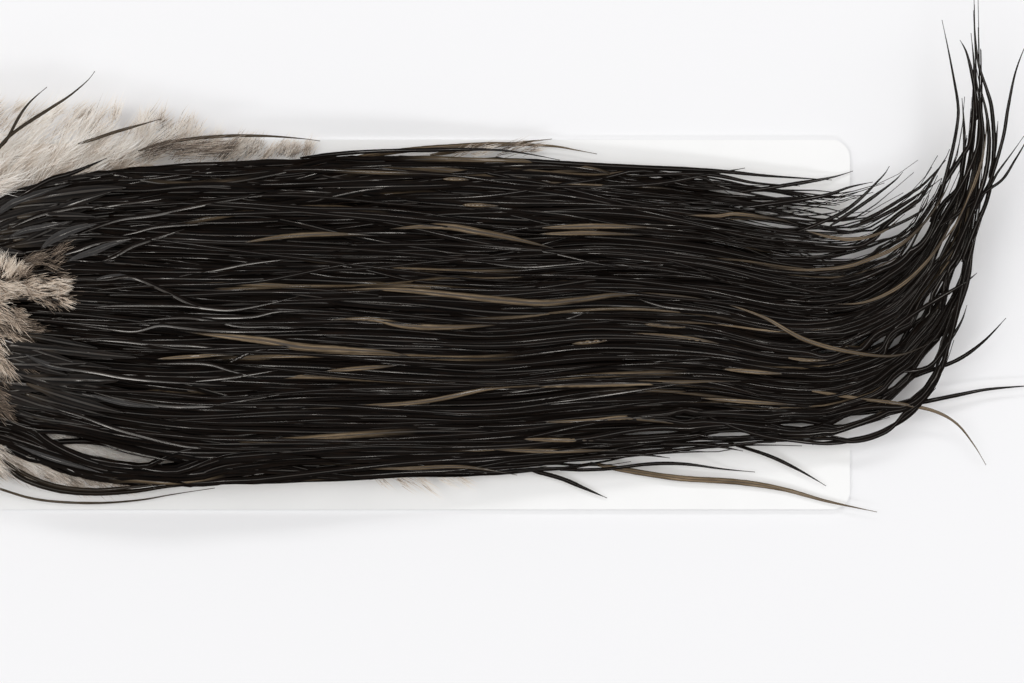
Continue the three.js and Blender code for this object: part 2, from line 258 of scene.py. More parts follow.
def pressed_board(add):
    """White pressed board: bleached pulp, rolled flat. Nearly even white, with short fibres that just
    break up its soft shine."""
    at = add("TexCoord", {}, "Object")
    clouds = add("TexNoise", {"Vector": at, "Scale": 40.0, "Detail": 4.0}, "Fac")
    fibres = add("TexNoise", {"Vector": at, "Scale": 1 / FIBRE_SIZE, "Detail": 6.0, "Roughness": 0.7}, "Fac")
    return {
        "Base Color": ramp(add, clouds, [(0.3, "#f4f4f3"), (0.7, "#f8f8f7")]),
        "Normal": add("Bump", {"Height": fibres, "Strength": 0.3, "Distance": 0.05 * MM}),
        "Roughness": 0.62,
        "IOR": 1.47,
    }


def pale_paper(add):
    """Pale matt paper: a plain, almost white floor without a shine."""
    return {"Base Color": linear("#f2f2f3"), "Roughness": 0.9}


BLACK_STOPS = [(0.3, "#020101"), (0.5, "#070504"), (0.74, "#1f140d")]
TAN_STOPS = [(0.25, "#4c3f31"), (0.5, "#7f6d55"), (0.78, "#b3a087")]
VANES = [("", "#17110d", 0.045), (", silky", "#2a2521", 0.12), (", glossy", "#2a2521", 0.48)]
VANE, SILKY, GLOSS = (
    make_material("pigmented keratin vane" + kind, keratin_vane, BLACK_STOPS, TAN_STOPS, edge, specular)
    for kind, edge, specular in VANES
)
UNDERSIDE = make_material("unpigmented keratin vane", keratin_vane, TAN_STOPS, TAN_STOPS, "#4b3b2d", 0.2)
SHAFT = make_material("keratin shaft", keratin_shaft)
DOWN = make_material("down barbs", down_barbs, False)


# Joined meshes from arrays


def joined_mesh(name, points, triangles, uvs, materials, attributes, finishes=None, sharp_line=None):
    """One object of many closed strips. uvs has one row for each corner of each triangle. Its faces are
    smooth if sharp_line is given, with a crease where an edge is between two points of the same line."""
    mesh = bpy.data.meshes.new(name)
    mesh.vertices.add(len(points))
    mesh.vertices.foreach_set("co", points.astype(np.float32).ravel())
    mesh.loops.add(triangles.size)
    mesh.loops.foreach_set("vertex_index", triangles.astype(np.int32).ravel())
    mesh.polygons.add(len(triangles))
    mesh.polygons.foreach_set("loop_start", np.arange(0, triangles.size, 3, dtype=np.int32))
    mesh.update(calc_edges=True)
    mesh.polygons.foreach_set("use_smooth", np.full(len(triangles), sharp_line is not None))
    mesh.uv_layers.new(name="OFBake").data.foreach_set("uv", uvs.astype(np.float32).ravel())
    for key, values in attributes.items():
        kind, field = ("FLOAT_VECTOR", "vector") if values.ndim == 2 else ("FLOAT", "value")
        data = mesh.attributes.new(key, kind, "POINT").data
        data.foreach_set(field, values.astype(np.float32).ravel())
    if sharp_line is not None:
        ends = np.empty(len(mesh.edges) * 2, np.int32)
        mesh.edges.foreach_get("vertices", ends)
        starts, stops = sharp_line[ends.reshape(-1, 2)].T
        mesh.attributes.new("sharp_edge", "BOOLEAN", "EDGE").data.foreach_set("value", starts == stops)
    for material in materials:
        mesh.materials.append(material)
    if finishes is not None:
        mesh.polygons.foreach_set("material_index", finishes.astype(np.int32))
    piece = bpy.data.objects.new(name, mesh)
    bpy.context.scene.collection.objects.link(piece)
    return piece


def finish_piece(piece, nodes):
    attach(piece, "root")
    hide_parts(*nodes)


# The section of a feather, as (across, up) in half-widths, from its left edge over the shaft to its right
# edge and back underneath. The vane falls away from the shaft to both sides.
SHAFT_EDGE = 0.14
SECTION = np.array([[1, -0.2], [SHAFT_EDGE, 0], [0, 0.025], [-SHAFT_EDGE, 0], [-1, -0.2], [0, -0.13]])
SIDES = len(SECTION)
UNDER_CORNER = 5
VANE_FINISH, SHAFT_FINISH, UNDER_FINISH = range(3)
FINISH_OF_SIDE = np.repeat([VANE_FINISH, SHAFT_FINISH, VANE_FINISH, UNDER_FINISH], [1, 2, 1, 2])


def frames_along(centres):
    """Unit vectors along rows of centre lines, and level ones across them."""
    along = np.gradient(centres, axis=1)
    along /= np.linalg.norm(along, axis=2, keepdims=True)
    across = np.stack([-along[..., 1], along[..., 0], np.zeros(along.shape[:2])], axis=-1)
    across /= np.maximum(np.linalg.norm(across, axis=2, keepdims=True), 1e-9)
    return along, across


# The corners of a quad's two triangles, as (side, ring). A twisted vane's top and underside are split by
# the same diagonal, so that neither comes through the other.
SPLIT = [(0, 0), (1, 0), (1, 1), (0, 0), (1, 1), (0, 1)]
UNDER_SPLIT = [(0, 0), (1, 0), (0, 1), (1, 0), (1, 1), (0, 1)]
UV_MARGIN = 0.08  # round each strip, of its own part of the map


def strip_triangles(count, length, sides):
    """Triangles and UVs of closed strips: count of them, each of so many rings, closed by fans."""
    under = FINISH_OF_SIDE == UNDER_FINISH if sides == SIDES else np.zeros(sides, bool)
    split = np.where(under[:, None, None], UNDER_SPLIT, SPLIT)
    column = np.arange(sides)[:, None] + split[..., 0]
    row = np.arange(length - 1)[:, None, None] + split[..., 1]
    quads = np.stack(np.broadcast_arrays(column, row), axis=-1).reshape(-1, 3, 2)
    fan = np.arange(1, sides - 1)
    ends = ([0 * fan, fan + 1, fan], 0), ([0 * fan, fan, fan + 1], length - 1)
    caps = [np.stack([np.transpose(columns), np.full((len(fan), 3), row)], axis=-1) for columns, row in ends]
    corners = np.concatenate([quads, *caps])
    one = corners[..., 1] * sides + corners[..., 0] % sides
    one_uv = corners / [sides, length - 1]

    triangles = (one[None] + (np.arange(count) * length * sides)[:, None, None]).reshape(-1, 3)
    columns = math.ceil(math.sqrt(count * 4)) if sides < SIDES else count
    row, column = np.divmod(np.arange(count), columns)
    corner = np.stack([column, row], axis=-1)[:, None, None]
    uv = (corner + UV_MARGIN + one_uv * (1 - 2 * UV_MARGIN)) / [columns, math.ceil(count / columns)]
    return triangles, uv.reshape(-1, 3, 2)


THINNEST_TIP = 0.09 * MM


def feathers(
    name, centres, half_widths, rolls, chances, paleness, nodes, slot="black_feather", shaft=1.0, finish=VANE
):
    """Feathers along rows of centre lines, in metres. rolls turn the vane about its shaft, in radians.
    paleness is 0 for black and 1 for tan, at each ring. shaft is how wide the shaft is, times SECTION's."""
    section = np.where(np.abs(SECTION) == SHAFT_EDGE, SECTION * shaft, SECTION)
    count, length, _ = centres.shape
    along, across = frames_along(centres)
    up = np.cross(along, across)
    cos = np.cos(rolls)[..., None]
    sin = np.sin(rolls)[..., None]
    side = across * cos + up * sin
    top = up * cos - across * sin
    wide = np.maximum(half_widths, THINNEST_TIP)[..., None, None]
    offset = side[:, :, None] * section[:, :1] * wide
    points = centres[:, :, None] + offset + top[:, :, None] * section[:, 1:] * wide
    steps = np.linalg.norm(np.diff(centres, axis=1, prepend=centres[:, :1]), axis=2)
    run = np.cumsum(steps, axis=1) / MM
    own = np.broadcast_arrays(section[:, 0], run[..., None], chances[:, None, None])
    vane = np.stack(own, axis=-1)
    tint = np.broadcast_to(paleness[..., None], points.shape[:3]).copy()
    tint[:, :, UNDER_CORNER] = 1.0
    triangles, uvs = strip_triangles(count, length, SIDES)
    sharp_line = np.broadcast_to(np.arange(SIDES), points.shape[:3])
    side_finishes = np.repeat(np.tile(FINISH_OF_SIDE, length - 1), 2)
    end_finishes = np.full(2 * (SIDES - 2), VANE_FINISH)
    finishes = np.tile(np.concatenate([side_finishes, end_finishes]), count)
    piece = joined_mesh(
        name,
        points.reshape(-1, 3),
        triangles,
        uvs,
        [finish, SHAFT, UNDERSIDE],
        {"vane": vane.reshape(-1, 3), "tint": tint.ravel()},
        finishes,
        sharp_line.ravel(),
    )
    finish_piece(piece, nodes)


# The flow of the long feathers: at each station down the saddle, where the first, middle and last lane
# are in the frame, the height of the mass's underside and its thickness at the crown, in mm.
FLOW = np.array([
    [-120, 262, -120, 306, -120, 350, 5.6, 6],
    [-50, 222, -50, 314, -50, 424, 5.6, 11],
    [10, 195, 10, 320, 10, 450, 5.6, 14],
    [60, 181, 60, 324, 60, 468, 5.6, 15],
    [120, 171, 120, 328, 120, 480, 5.4, 15],
    [200, 164, 200, 332, 200, 484, 5, 14.5],
    [300, 161, 300, 332, 300, 481, 4.2, 13.5],
    [400, 157, 400, 335, 400, 477, 3.2, 12.5],
    [500, 158, 500, 337, 500, 473, 1.8, 12],
    [600, 167, 600, 329, 600, 466, 1.5, 10.5],
    [700, 177, 700, 334, 700, 454, 1.5, 9.5],
    [780, 185, 775, 348, 770, 447, 1.5, 8.5],
    [840, 190, 835, 349, 830, 445, 1.5, 6.5],
    [880, 182, 878, 334, 885, 432, 1.7, 5.5],
    [912, 160, 912, 308, 922, 405, 2.4, 5],
    [934, 130, 937, 272, 944, 368, 3.6, 5],
    [946, 100, 957, 232, 960, 312, 6, 5.5],
    [952, 72, 969, 188, 977, 240, 8, 5],
    [953, 46, 976, 140, 990, 170, 10, 4.6],
    [950, 24, 977, 88, 993, 112, 12, 4.2],
    [942, 0, 976, 38, 990, 60, 14, 3.8],
    [936, -22, 975, -12, 988, 10, 16, 3.4],
])
LAST_STATION = len(FLOW) - 1
EDGE_THICKNESS = 0.3  # of the mass at its crown
# The station where each lane of each layer ends, from the lowest layer up.
LOCK_ENDS = np.array([
    [11.8, 12.8, 15, 13.5, 18.4, 15.5, 19.2, 14.5, 16.6, 15.2, 17.4, 9.6],
    [12.9, 19.4, 14.5, 17.2, 20, 18.2, 16.2, 19.5, 17.8, 16.4, 14, 10.5],
    [12.5, 13.2, 16, 19.4, 17.5, 21, 18.5, 20.4, 17, 18.6, 15.5, 9],
])
LAYERS, LANES = LOCK_ENDS.shape


def flow_in_frame(station, lane, level):
    """Places in the frame and heights in mm: station along the flow, lane 0 to 1 across it, level 0
    underneath it to 1 on top."""
    values = [resample(column, station) for column in FLOW.T]
    shares = (1 - lane) * (1 - 2 * lane), 4 * lane * (1 - lane), lane * (2 * lane - 1)
    across = sum(value * share for value, share in zip(values[0:6:2], shares))
    down = sum(value * share for value, share in zip(values[1:6:2], shares))
    dome = np.sqrt(np.clip(1 - (2 * lane - 1) ** 2, 0, 1))
    thickness = values[7] * (EDGE_THICKNESS + (1 - EDGE_THICKNESS) * dome)
    return across, down, values[6] + thickness * level


# Partings, where the feathers lie away from a line and what is below shows: the line's ends in the frame
# and how far the feathers are pushed to each side at its middle.
PARTINGS = [
    [34, 431, 142, 461, 7],
    [37, 434, 216, 479, 7.5],
    [606, 176, 668, 174, 4],
    [672, 178, 716, 180, 3],
    [810, 352, 842, 350, 5.25],
    [850, 350, 872, 336, 5.25],
    [866, 352, 892, 336, 6],
    [884, 350, 912, 330, 6.75],
    [600, 437, 702, 429, 3.6],
    [700, 437, 756, 431, 3.4],
    [772, 426, 822, 423, 4.5],
    [672, 418, 696, 415, 5.25],
    [947, 302, 962, 256, 6.75],
    [914, 320, 938, 294, 6.75],
    [928, 308, 946, 282, 5.25],
    [920, 374, 940, 342, 7.5],
    [888, 391, 918, 371, 6],
    [888, 409, 938, 368, 8.25],
    [826, 428, 886, 411, 6],
    [836, 439, 904, 421, 6.75],
    [877, 260, 903, 240, 6],
    [912, 250, 936, 214, 5.25],
    [936, 262, 962, 212, 6],
    [944, 196, 962, 170, 5.25],
    [878, 238, 924, 210, 6.75],
    [840, 214, 880, 200, 5.25],
]
NEAR_PARTING = 15  # steps of the frame. The push fades out from twice to three times as far from the line.
STRAYED = 10  # What strays over the line by up to this is brought all the way back.


def part(across, down):
    """Places in the frame of rows of points once the feathers are parted. Each row keeps to one side, and
    what strays over the line is brought back to it."""
    slack = rng.uniform(0.78, 1.15, (len(across), 1))
    for *start, end_across, end_down, push in PARTINGS:
        length = math.dist(start, (end_across, end_down))
        run = ((end_across - start[0]) / length, (end_down - start[1]) / length)
        along = ((across - start[0]) * run[0] + (down - start[1]) * run[1]) / length
        off = (down - start[1]) * run[0] - (across - start[0]) * run[1]
        nearest = np.abs(along - 0.5).argmin(axis=1)
        side = np.sign(off[np.arange(len(off)), nearest])[:, None]
        near = np.clip(3 - np.abs(off) / NEAR_PARTING, 0, 1)
        opened = push * slack * np.exp(-np.maximum(side * off, 0) / (2 * push)) * near
        strayed = np.maximum(-side * off, 0) * np.clip(2 - np.abs(off) / STRAYED, 0, 1)
        moved = (opened + strayed) * side * np.sin(np.pi * np.clip(along, 0, 1)) ** 0.7
        across = across - moved * run[1]
        down = down + moved * run[0]
    return across, down


# The lanes of the wisps in the curl.
CLUMPS = np.array([0.02, 0.09, 0.15, 0.22, 0.31, 0.37, 0.45, 0.52, 0.6, 0.68, 0.74, 0.83, 0.9, 0.97])
CLUMPED_FROM = 11.5  # station of the flow, as in the other FROM and BY
CLUMPED_BY = 17
CLUMPING = 0.66
BUNCHED_FROM = 15.5
BUNCHED_BY = 19
BUNCHING = 0.8
BUNCH_LANE = 0.62
CROWN = 19.4  # mm
CROWN_GIVE = 0.9


def clump(station, lane):
    """Lanes drawn together into wisps towards the curled tips, where white shows between them, and at the
    very end into one bunch."""
    nearest = CLUMPS[np.abs(lane[..., None] - CLUMPS).argmin(axis=-1)]
    nearest = np.broadcast_to(nearest[:, -1:], lane.shape)
    pull = np.clip((station - CLUMPED_FROM) / (CLUMPED_BY - CLUMPED_FROM), 0, 1)
    lane = lane + (nearest - lane) * CLUMPING * pull
    bunched = np.clip((station - BUNCHED_FROM) / (BUNCHED_BY - BUNCHED_FROM), 0, 1)
    return lane + (BUNCH_LANE - lane) * BUNCHING * bunched * np.clip(lane / 0.25 - 1, 0, 1)


def lower(height):
    """Heights in mm, with the highest ones pressed down under the mass's crown."""
    return np.where(height > CROWN, CROWN + CROWN_GIVE * np.tanh((height - CROWN) / CROWN_GIVE), height)


def flow(station, lane, level):
    across, down, height = flow_in_frame(station, clump(station, lane), level)
    return place(*part(across, down), lower(height))


CARD_THICKNESS = 0.8  # mm
LOWEST_FEATHER = CARD_THICKNESS + 0.5
SMOOTHED = 31  # points along a route over which its height is evened
SAG = 0.2  # mm that a feather comes down for each step that it is away from the mass
TOP_GRID = flow_in_frame(*np.meshgrid(np.linspace(0.3, LAST_STATION, 240), np.linspace(0, 1, 60)), 1.0)
TOP_ACROSS, TOP_DOWN, TOP_HEIGHT = (values.ravel() for values in TOP_GRID)


def height_on_mass(across, down, lift):
    """How high a feather lies at places in the frame: on the mass, or sagging beside it to the card."""
    away = (across[:, None] - TOP_ACROSS) ** 2 + (down[:, None] - TOP_DOWN) ** 2
    nearest = away.argmin(axis=1)
    distance = np.sqrt(away[np.arange(len(nearest)), nearest])
    height = np.maximum(TOP_HEIGHT[nearest] + lift - SAG * distance, LOWEST_FEATHER)
    padded = np.pad(height, SMOOTHED // 2, mode="edge")
    return lower(np.convolve(padded, np.full(SMOOTHED, 1 / SMOOTHED), mode="valid"))


def even_out(centres, length):
    """Rows of points put at even distances along their lines."""
    steps = np.linalg.norm(np.diff(centres, axis=1), axis=2)
    run = np.concatenate([np.zeros((len(centres), 1)), np.cumsum(steps, axis=1)], axis=1)
    result = np.empty((len(centres), length, 3))
    for row in range(len(centres)):
        at = np.linspace(0, run[row, -1], length)
        for axis in range(3):
            result[row, :, axis] = np.interp(at, run[row], centres[row, :, axis])
    return result


def feather_widths(share, widest):
    """Half-widths along saddle feathers: narrow at the root, widest a third of the way, long fine tips."""
    root = np.clip(share / 0.1, 0, 1) * 0.55 + 0.45
    tip = np.clip((1 - share) / 0.45, 0, 1) ** 0.8
    return widest * root * tip


BARB_CLUMPS = 0.05  # how ragged the vane's edge is, of its width
TURN_LENGTH = 0.06  # of a feather's length, over which its vane turns over


def turned_over(count, rings, chance):
    """How far the feathers have turned over: above 0 on one stretch of some of them."""
    share = np.linspace(0, 1, rings)
    begin = rng.uniform(0.12, 0.8, count)
    finish = begin + rng.uniform(0.08, 0.3, count)
    turns = rng.random(count) < chance
    rise = np.clip((share - begin[:, None]) / TURN_LENGTH, 0, 1)
    fall = np.clip((finish[:, None] - share) / TURN_LENGTH, 0, 1)
    return (turns * rng.uniform(0.3, 1, count))[:, None] * np.minimum(rise, fall)


def long_feathers(layer, count, rings, turning):
    """The feathers of one layer, spread over its lanes, each with its own wander, roll and length."""
    lane = (np.arange(count) + rng.uniform(0.1, 0.9, count)) / count
    rng.shuffle(lane)
    level = (layer + rng.uniform(0.1, 0.9, count)) / LAYERS
    places = np.clip(lane * LANES - 0.5, 0, LANES - 1)
    reach = np.array([np.interp(p, np.arange(LANES), LOCK_ENDS[layer]) for p in places])
    # The upper lanes end before the curl's tip.
    reach = np.minimum(reach, np.interp(lane, [0.25, 0.4], [15.5, LAST_STATION]))
    end = reach - rng.exponential(1.8 + 0.6 * (LAYERS - 1 - layer), count)
    # In the top layer the middle lanes start later, behind the fluff on the crown.
    middle = np.exp(-(((lane - 0.47) / 0.16) ** 2))
    start = rng.uniform(0.4, 2.2, count) + (1.6 * middle if layer == LAYERS - 1 else 0)
    share = np.linspace(0, 1, rings)
    station = start[:, None] + (end - start)[:, None] * share
    wander = smooth_noise(count, rings, 6, 0.023) + smooth_noise(count, rings, 15, 0.006)
    drift = rng.normal(0, 0.035, count) * rng.choice([1, 1, 1, 3], count)
    spread = rng.normal(0, 0.022, count)[:, None] * share**4 + drift[:, None] * (share - 0.4)
    hold = np.sin(np.pi * np.clip(share * 1.4, 0, 0.5))
    lanes = 1 - np.abs(1 - np.abs(lane[:, None] + wander * hold + spread))
    turns = turned_over(count, rings, turning)
    levels = 0.5 + 0.47 * np.tanh((level[:, None] - 0.5 + smooth_noise(count, rings, 9, 0.04)) / 0.47)
    levels = levels + 0.04 * turns
    centres = even_out(flow(station, lanes, levels), rings)
    widest = rng.uniform(0.5, 1.3, count)[:, None] * MM
    ragged = 1 + BARB_CLUMPS * rng.uniform(-1, 1, (count, rings))
    half_widths = feather_widths(share, widest) * ragged * (1 - 0.45 * turns)
    rolls = smooth_noise(count, rings, 10, 0.42)
    return centres, half_widths, rolls, rng.uniform(0, 100, count), turns


# Feathers in each layer, rings along each of them, the share of them that turn over, and in how many
# pieces the layer is made.
LAYER_FEATHERS = [(84, 30, 0.1, 1), (140, 40, 0.2, 1), (330, 60, 0.2, 2)]
for layer, (count, rings, turning, parts) in enumerate(LAYER_FEATHERS):
    rows = long_feathers(layer, count, rings, turning)
    nodes = [f"hackle_lock_{layer + 1}-{lane + 1}" for lane in range(LANES)]
    for half in range(parts):
        centres, half_widths, rolls, chances, turns = (values[half::parts] for values in rows)
        name = f"long_feathers_{layer + 1}{'ab'[half] if parts > 1 else ''}"
        feathers(name, centres, half_widths, rolls, chances, turns, nodes[half::parts])


def crossing_feathers(count, rings):
    """Dark feathers that lie slantwise over the others and over the tan streaks."""
    share = np.linspace(0, 1, rings)
    start = rng.uniform(2.5, 13, count)
    station = start[:, None] + rng.uniform(3, 6.5, count)[:, None] * share
    lane = rng.uniform(0.04, 0.96, count)[:, None]
    drift = rng.normal(0, 0.06, count)[:, None] * (share - 0.5)
    lane = np.clip(lane + drift + smooth_noise(count, rings, 5, 0.008), 0.01, 0.99)
    level = np.broadcast_to(1.04 - 0.2 * np.linspace(-1, 1, rings) ** 6, lane.shape)
    centres = even_out(flow(station, lane, level), rings)
    half_widths = feather_widths(share, rng.uniform(0.4, 0.8, count)[:, None] * MM)
    rolls = smooth_noise(count, rings, 6, 0.25)
    chances = rng.uniform(0, 100, count)
    feathers("crossing_feathers", centres, half_widths, rolls, chances, np.zeros((count, rings)), [])


crossing_feathers(56, 44)

# Feathers drawn one by one. Each row is its widest in mm and its route in the frame, root first.
TAN_STREAKS = [
    [1.4, 240, 243, 290, 236, 340, 234, 380, 236],
    [1.9, 389, 229, 440, 226, 480, 232, 520, 240, 560, 250],
    [1.0, 201, 283, 250, 284, 311, 286],
    [1.1, 462, 205, 480, 205, 500, 206],
    [1.0, 442, 179, 456, 179, 471, 180],
    [2.2, 185, 332, 260, 340, 300, 347, 350, 350, 392, 353, 428, 362],
    [1.1, 156, 359, 200, 356, 237, 355],
    [1.3, 325, 371, 365, 368, 402, 365],
    [1.3, 300, 409, 366, 406, 427, 401, 491, 388, 535, 385, 580, 386, 657, 382],
    [1.1, 364, 469, 415, 468, 466, 467, 517, 475],
    [1.2, 522, 439, 560, 440, 601, 441],
    [1.3, 494, 450, 556, 451, 619, 450],
    [1.4, 540, 422, 590, 421, 632, 418, 700, 427],
    [1.9, 330, 290, 400, 290, 500, 300, 543, 303, 577, 300, 625, 294, 679, 296, 730, 304],
    [1.2, 720, 302, 763, 317, 806, 340, 857, 353, 900, 355, 940, 338],
    [1.7, 330, 320, 370, 319, 410, 326, 460, 327, 520, 322],
    [1.6, 538, 228, 602, 226, 658, 228],
    [1.3, 538, 234, 589, 233, 643, 235],
    [1.0, 684, 215, 717, 216, 737, 214, 781, 220, 798, 225],
    [1.0, 768, 268, 806, 270, 844, 267, 870, 259, 900, 245, 925, 222, 946, 190, 956, 160],
    [1.0, 832, 304, 865, 302, 900, 286, 930, 258, 950, 225, 960, 190],
    [1.3, 643, 324, 670, 326, 694, 327],
    [1.3, 630, 333, 694, 339, 724, 345],
    [1.1, 571, 344, 592, 342, 612, 340],
    [1.7, 500, 388, 533, 386, 602, 384, 679, 382, 742, 381],
    [1.3, 722, 369, 755, 372, 786, 374],
    [0.9, 784, 357, 806, 360, 830, 360],
    [1.0, 804, 230, 830, 237, 855, 239, 882, 232, 905, 214],
    [0.9, 937, 248, 956, 224, 970, 195, 981, 163, 986, 134, 986, 107],
    [1.2, 700, 398, 752, 402, 800, 405],
    [1.0, 856, 398, 901, 404, 934, 411],
]
# Dark ones along the edges of the mass and of the curl.
EDGE_FEATHERS = [
    [1.4, 500, 159, 576, 164, 653, 168, 717, 171, 770, 176, 832, 180],
    [1.1, 630, 176, 704, 174, 755, 183, 800, 186],
    [1.2, 600, 186, 653, 184, 712, 174, 745, 168],
    [1.1, 797, 232, 845, 211, 880, 179, 889.5, 166],
    [1.0, 830, 226, 863, 204, 893, 182, 903, 172],
    [1.2, 740, 208, 817, 197, 850, 187, 873, 182],
    [1.1, 740, 192, 800, 183, 833, 177, 853, 171],
    [1.0, 860, 222, 877, 214, 908, 195, 925, 183, 946, 160],
    [0.9, 850, 228, 886, 214, 924, 191, 942, 178],
    [0.9, 870, 236, 891, 227, 912, 217, 924, 208, 929, 195],
    [1.0, 930, 222, 943, 186, 953, 148, 958, 120, 958, 103, 954, 79, 948, 48, 942, 20],
    [1.2, 962, 262, 974, 231, 988, 196, 994, 151, 992, 110, 987, 90, 979, 65, 975, 33, 974, -6],
    [1.2, 934, 200, 953, 170, 963, 155, 970, 143, 973, 120, 974, 90, 974, 65, 971, 33],
    [1.1, 977, 120, 974, 84, 967, 54, 960, 40],
    [1.3, 938, 262, 958, 222, 976, 180, 983, 145, 981, 110, 977, 84, 974, 60],
    [1.3, 950, 262, 968, 222, 984, 180, 989, 145, 987, 116, 981, 90, 976, 66],
    [1.2, 930, 240, 950, 205, 968, 172, 979, 140, 979, 112, 976, 88],
    [0.8, 960, 178, 964, 152, 964, 125, 962, 98],
    [0.8, 989, 178, 995, 150, 998, 121],
    [1.1, 812, 444, 878, 433, 928, 395, 950, 340, 968, 262, 988, 195, 992, 150],
    [1.1, 700, 413, 745, 431, 789, 440, 845, 442, 907, 418, 941, 373, 954, 340],
    [1.3, 890, 332, 912, 315, 941, 297, 963, 284, 977, 273],
    [1.2, 900, 372, 930, 366, 952, 337, 962, 320, 967, 305],
    [1.0, 560, 460, 604, 455, 643, 455, 670, 458],
    [1.0, 560, 470, 604, 469, 649, 464, 684, 464, 723, 469, 755, 472],
    [1.0, 660, 444, 708, 445, 743, 451],
    [1.2, 300, 158, 360, 152, 430, 150, 500, 150, 560, 160],
]
# These stand outside the mass. Their tones, 0 for black and 1 for tan, and the heights in mm where they
# start and end come after their widths.
STRAYS = [
    [0.85, 0, 13, 12, 946, 222, 963, 210, 987, 191, 1003, 179, 1015, 160, 1024, 145, 1032, 130],
    [0.95, 0, 11, 17, 975, 214, 984, 193, 991, 179, 1003, 138, 1008, 108, 1015, 74, 1024, 49, 1031, 36],
    [0.75, 0, 13, 12, 940, 226, 950, 219, 970, 201, 988, 188, 998, 172, 1012, 153, 1024, 136],
    [1.1, 0, 3.6, 5, 905, 380, 923, 373, 957, 360, 983, 342, 1006, 318],
    [1.2, 0, 4, 1.6, 850, 415, 878, 411, 923, 402, 957, 395, 990, 389, 1040, 385],
    [1.0, 0.8, 8, 1.3, 812, 391, 856, 398, 901, 404, 934, 411, 957, 424, 974, 445, 986, 465],
    [1.6, 1.0, 2.6, 1.4, 590, 463, 625, 470, 678, 478, 737, 482, 782, 489, 826, 501, 877, 512],
    [1.0, 0, 2.6, 1.4, 727, 442, 767, 455, 797, 469, 818, 481, 826, 486],
    [1.2, 0, 2.4, 1.4, 530, 470, 560, 478, 584, 488, 607, 498],
    [1.5, 0.05, 9, 6, -40, 446, 0, 464, 25, 480, 57, 490, 92, 493, 134, 491, 172, 486, 235, 482],
    [1.1, 0.1, 10.5, 7, -30, 440, 0, 458, 25, 474, 57, 486, 95, 490, 134, 487, 175, 483, 230, 479],
    [0.7, 0.35, 3.6, 1.8, -60, 470, 0, 489, 30, 498, 60, 502, 100, 503, 140, 500, 175, 494, 215, 488],
    [1.4, 0.75, 3, 2.2, 320, 166, 373, 155, 418, 149, 462, 146, 500, 144, 551, 146, 576, 150, 597, 154],
    [1.1, 0.5, 3, 2.4, 430, 155, 480, 148, 525, 142, 552, 139],
    [0.9, 0.3, 8.5, 5, 138, 151, 160, 144, 190, 139, 228, 136, 266, 136, 302, 138.6, 320, 141],
    [0.85, 0.2, 16.5, 13, -14, 165, 0, 147, 7, 139, 19.5, 116, 31, 101, 47, 87],
    [0.95, 0.2, 16.5, 13, -16, 168, 0, 146, 17, 130, 49, 109, 69, 96, 87, 81, 95, 71],
    [0.9, 0.3, 11, 9, 78, 144, 94, 139, 115, 132, 143, 124, 161, 119],
    [1.4, 0, 17, 14, 20, 196, 49, 180, 69, 174, 89, 166, 107, 158],
]
# Feathers whose shafts catch the light, mostly where they spring from the skin.
GLINTS = [
    [1.9, 86, 281, 107, 280, 132, 278, 163, 291, 191, 305, 210, 309, 235, 310, 268, 304, 300, 296],
    [1.5, 90, 308, 115, 306, 165, 306, 191, 307, 230, 312],
    [1.7, 75, 324, 105, 329, 134, 332, 159, 326, 182, 328, 214, 331, 268, 332, 320, 330],
    [1.5, 140, 321, 182, 318, 216, 322, 243, 327, 288, 326],
    [1.5, 170, 317, 220, 318, 253, 317, 277, 312, 310, 311],
    [1.6, 80, 339, 124, 342, 153, 345, 191, 346, 220, 349, 260, 353],
    [1.2, 228, 363, 239, 358, 251, 352, 270, 349],
    [1.4, 150, 364, 203, 364, 230, 371, 262, 379],
    [1.3, 190, 382, 230, 378, 249, 375, 280, 370],
    [1.9, 30, 358, 57, 367, 96, 373, 124, 378, 163, 382, 210, 384],
    [2.0, 85, 389, 103, 395, 134, 402, 163, 406, 191, 407, 220, 405, 249, 400, 300, 391],
    [1.7, 40, 401, 57, 409, 82, 417, 115, 429, 143, 437, 172, 444, 201, 448, 260, 447],
    [1.4, 100, 443, 122, 450, 138, 454, 175, 462],
    [1.5, 100, 262, 115, 257, 122, 253, 138, 245, 180, 232],
    [1.8, 60, 256, 77, 251, 99, 244, 145, 237],
    [1.3, 200, 273, 218, 270, 249, 264, 290, 259],
    [1.4, 90, 210, 104, 207, 134, 203, 170, 198],
    [1.8, 75, 236, 93, 229, 121, 220, 158, 215, 195, 207, 238, 199, 270, 194],
    [1.6, 8, 230, 17, 225, 39, 216, 65, 210, 87, 207, 120, 209],
    [1.5, 105, 258, 117, 253, 139, 244, 185, 229],
    [1.3, 120, 236, 134, 233, 160, 227, 210, 224],
    [1.3, 245, 198, 260, 196, 293, 193, 330, 195],
    [1.2, 425, 242, 500, 247, 545, 252, 590, 262, 620, 268],
    [1.2, 480, 262, 520, 267, 560, 265, 600, 261],
    [1.2, 530, 322, 555, 322, 570, 318, 590, 311],
    [1.3, 636, 298, 660, 306, 685, 309, 730, 313],
    [1.2, 540, 404, 580, 399, 620, 393, 660, 387, 700, 380],
]
